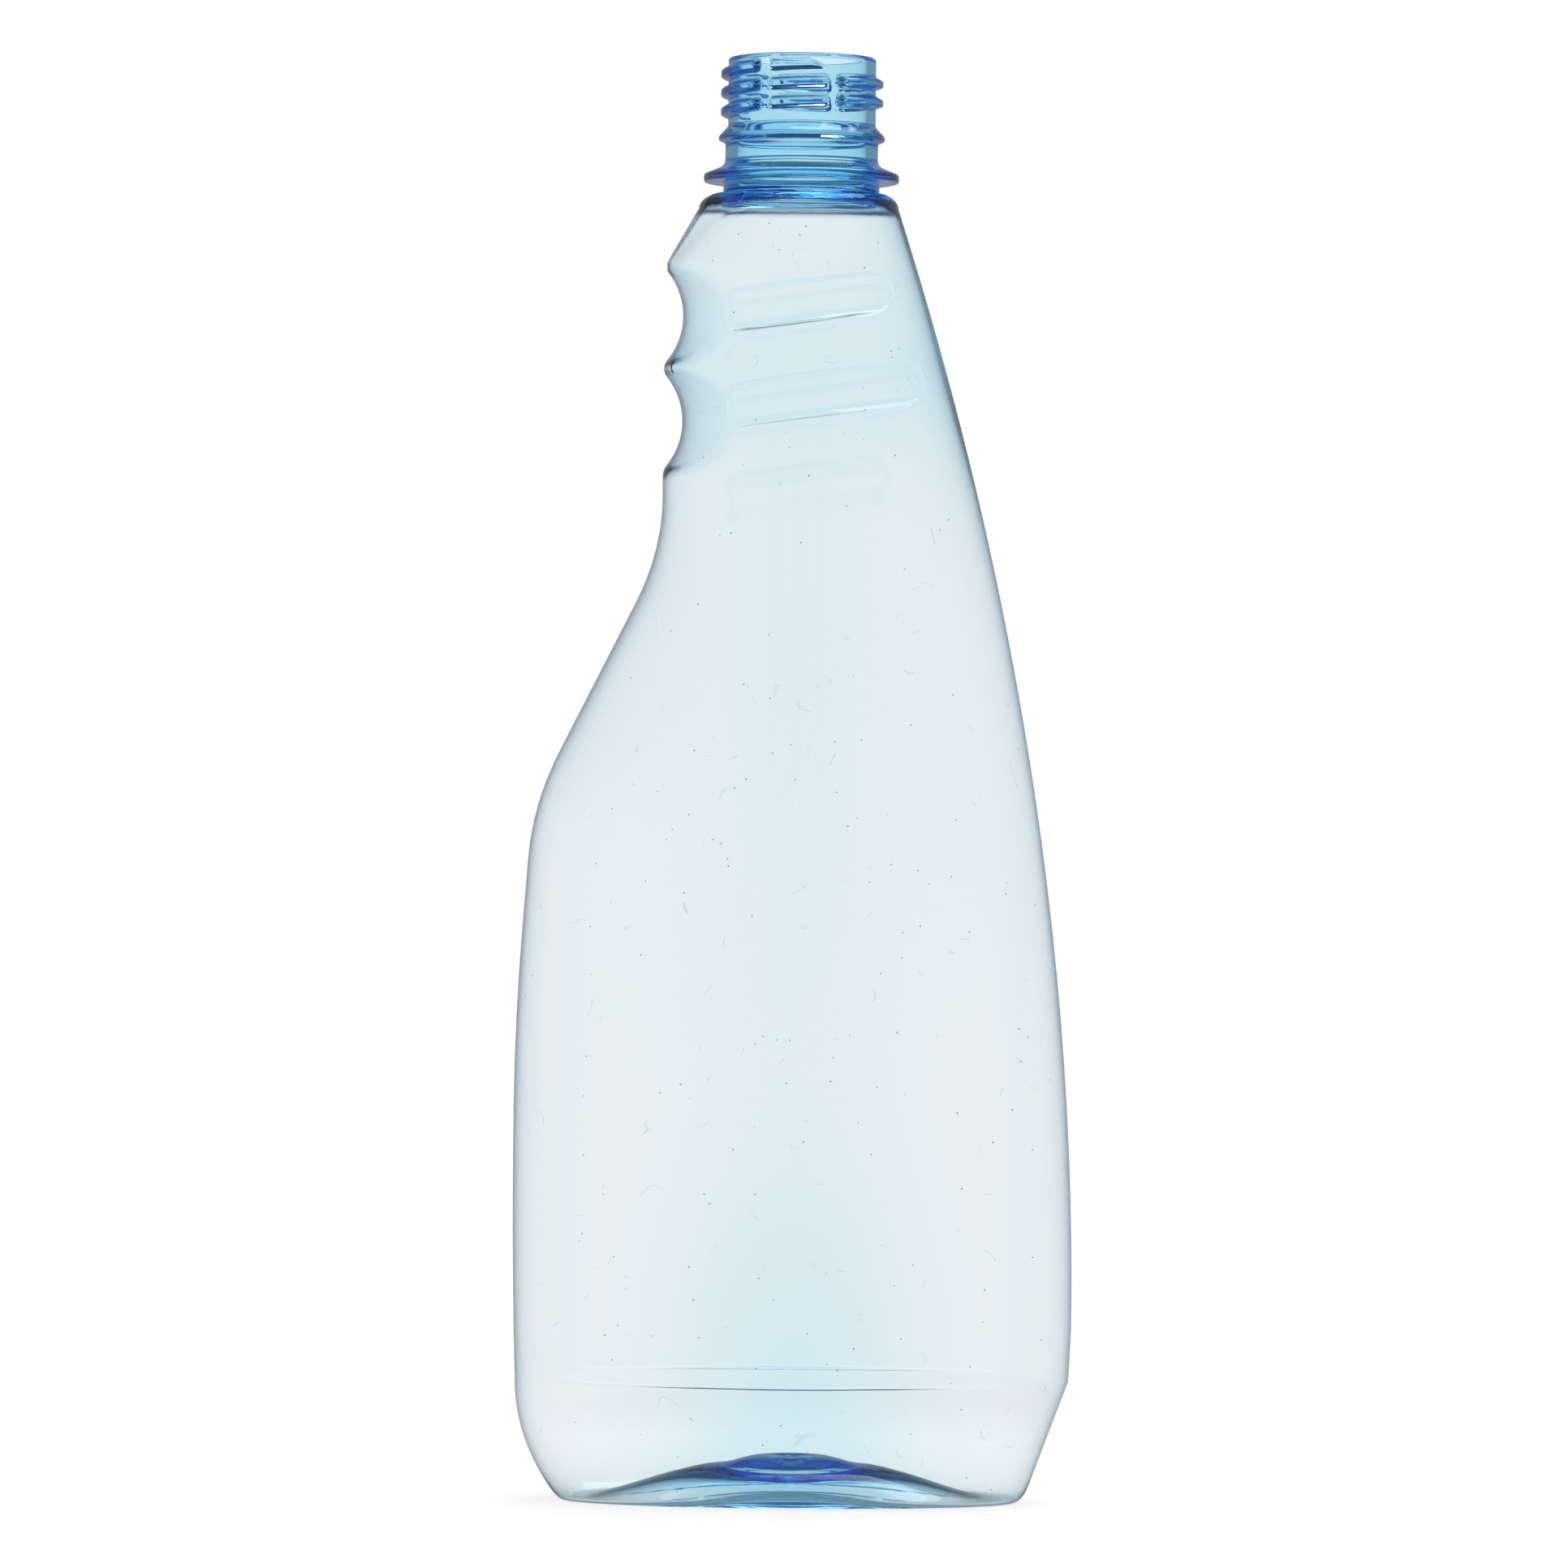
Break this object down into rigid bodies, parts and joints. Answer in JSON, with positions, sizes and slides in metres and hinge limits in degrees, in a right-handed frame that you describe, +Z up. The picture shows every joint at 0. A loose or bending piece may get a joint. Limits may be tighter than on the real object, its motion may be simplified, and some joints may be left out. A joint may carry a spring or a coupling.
{
  "type": "plastic bottle",
  "caption": "Clear blown bottle with a finger-grooved grip, sloping back, oval body, push-up base and open threaded neck.",
  "frame": {"origin": "centre of the base, on the surface that the bottle stands on, under the axis of the neck", "axes": "+Z up along the neck axis, +X from the finger grooves towards the sloping back, +Y through the two broad faces"},
  "size_m": [0.0946, 0.044, 0.2437],
  "materials": {
    "clear_blue_plastic": "clear, glossy, blue-tinted blown plastic"
  },
  "bodies": {
    "root": {"bottle": "clear_blue_plastic"}
  },
  "joints": []
}
